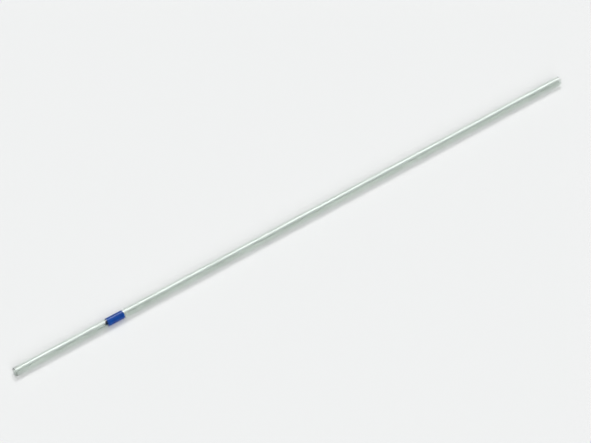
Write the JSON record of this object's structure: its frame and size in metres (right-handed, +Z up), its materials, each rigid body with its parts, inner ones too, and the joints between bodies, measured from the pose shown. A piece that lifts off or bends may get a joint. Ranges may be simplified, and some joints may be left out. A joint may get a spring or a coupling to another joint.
{
  "type": "glass capillary tube",
  "caption": "Straight glass capillary tube, open at both ends, with a fired blue ring that marks how far to fill it.",
  "frame": {"origin": "on the surface that the tube lies on, under the middle of its length", "axes": "+X along the tube from the holding end to the measuring end, +Z up"},
  "size_m": [0.125, 0.0016, 0.0016],
  "materials": {
    "glass": "clear drawn glass, smooth, with fire-polished ends",
    "enamel": "fired blue enamel, semi-gloss, thinning out at both edges"
  },
  "bodies": {
    "root": {"glass_tube": "glass", "ring_mark": "enamel"}
  },
  "joints": []
}
